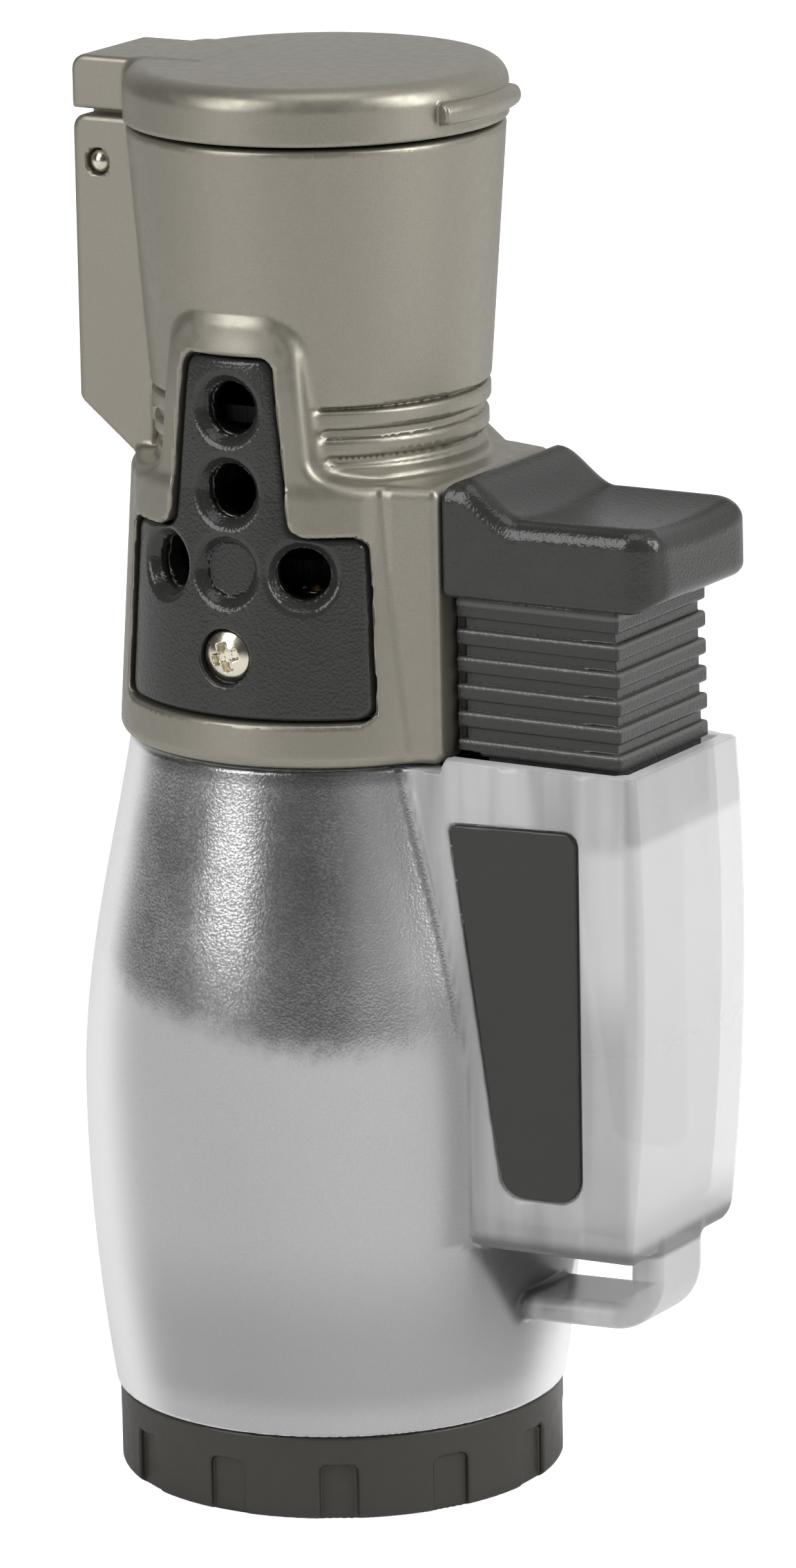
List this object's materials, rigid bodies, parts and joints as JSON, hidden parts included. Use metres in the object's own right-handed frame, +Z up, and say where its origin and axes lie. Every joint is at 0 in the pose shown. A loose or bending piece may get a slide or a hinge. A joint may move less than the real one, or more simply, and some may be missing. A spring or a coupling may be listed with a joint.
{
  "type": "pocket jet flame lighter",
  "caption": "Refillable butane jet lighter: flip-top lid on a rear spine, vented cast housing, push-down thumb lever, barrel tank with side wing and lanyard loop, base flame dial.",
  "frame": {"origin": "centre of the base dial's underside, on the tank's axis", "axes": "+Z up along the tank's axis, +X towards the thumb lever and the tank's wing, -X towards the lid's hinge, XZ is the mirror plane"},
  "size_m": [0.0421, 0.0306, 0.0875],
  "materials": {
    "housing_paint": "satin gunmetal paint on a zinc casting",
    "black_plastic": "fine leather grain",
    "badge_inlay": "smooth inlay",
    "dial_plastic": "satin",
    "smoke_plastic": "translucent smoke grey",
    "screw_nickel": "nickel plated",
    "frame_steel": "pressed steel",
    "spring_steel": "drawn wire",
    "brass": "turned brass",
    "rubber_black": "moulded rubber",
    "wire_sleeve": "insulated lead",
    "ceramic_white": "glazed ceramic"
  },
  "bodies": {
    "casing": {"housing": "housing_paint", "chassis": "frame_steel", "chassis_screws": "screw_nickel", "front_vent_plate": "black_plastic", "rear_vent_plate": "black_plastic", "plate_screws": "screw_nickel", "hinge_pin": "screw_nickel", "lid_spring": "spring_steel", "tank_body": "smoke_plastic", "tank_floor": "smoke_plastic", "front_badge": "badge_inlay", "rear_badge": "badge_inlay", "piezo_body": "black_plastic", "piezo_spring": "spring_steel", "ignition_wire": "wire_sleeve", "lever_pin": "screw_nickel", "valve_body": "brass", "valve_spring": "spring_steel", "feed_tube": "smoke_plastic", "manifold": "brass", "jet_nozzles": "frame_steel", "burner_plate": "frame_steel", "electrode_insulator": "ceramic_white", "electrode": "screw_nickel"},
    "lid": {"lid": "housing_paint", "lid_seal": "rubber_black"},
    "trigger": {"thumb_pad": "black_plastic", "ribbed_slider": "black_plastic", "piezo_plunger": "dial_plastic"},
    "gas_lever": {"gas_lever": "frame_steel"},
    "valve_stem": {"valve_stem": "brass", "valve_seal": "rubber_black"},
    "lid_plunger": {"lid_plunger": "frame_steel"},
    "dial": {"adjuster_dial": "dial_plastic", "dial_seal": "rubber_black", "regulator_sleeve": "brass", "metering_screw": "brass", "fill_valve_body": "brass", "fill_valve_spring": "spring_steel"},
    "fill_stem": {"fill_valve_stem": "brass"}
  },
  "joints": [
    {"name": "lid_hinge", "type": "hinge", "parent": "casing", "child": "lid", "pos_m": [-0.01327, 0, 0.0808], "axis": [0, -1, 0], "range_deg": [0, 100]},
    {"name": "lid_snap", "type": "slide", "parent": "casing", "child": "lid_plunger", "axis": [0, 0, 1], "range_m": [0, 0.00046], "deforming": ["lid_spring"]},
    {"name": "trigger_slide", "type": "slide", "parent": "casing", "child": "trigger", "axis": [0, 0, -1], "range_m": [0, 0.005], "deforming": ["piezo_spring"]},
    {"name": "gas_lever_pivot", "type": "hinge", "parent": "casing", "child": "gas_lever", "pos_m": [0.0027, 0, 0.0526], "axis": [0, 1, 0], "range_deg": [0, 37.6]},
    {"name": "valve_lift", "type": "slide", "parent": "casing", "child": "valve_stem", "axis": [0, 0, 1], "range_m": [0, 0.00173], "deforming": ["valve_spring"]},
    {"name": "dial_turn", "type": "hinge", "parent": "casing", "child": "dial", "pos_m": [0, 0, 0], "axis": [0, 0, 1], "range_deg": [0, 300]},
    {"name": "fill_push", "type": "slide", "parent": "dial", "child": "fill_stem", "axis": [0, 0, 1], "range_m": [0, 0.001], "deforming": ["fill_valve_spring"]}
  ],
  "couplings": [
    {"joint": "lid_snap", "follows": "lid_hinge", "m_per_rad": 0.000263},
    {"joint": "gas_lever_pivot", "follows": "trigger_slide", "rad_per_m": 131},
    {"joint": "valve_lift", "follows": "trigger_slide", "ratio": 0.345}
  ]
}
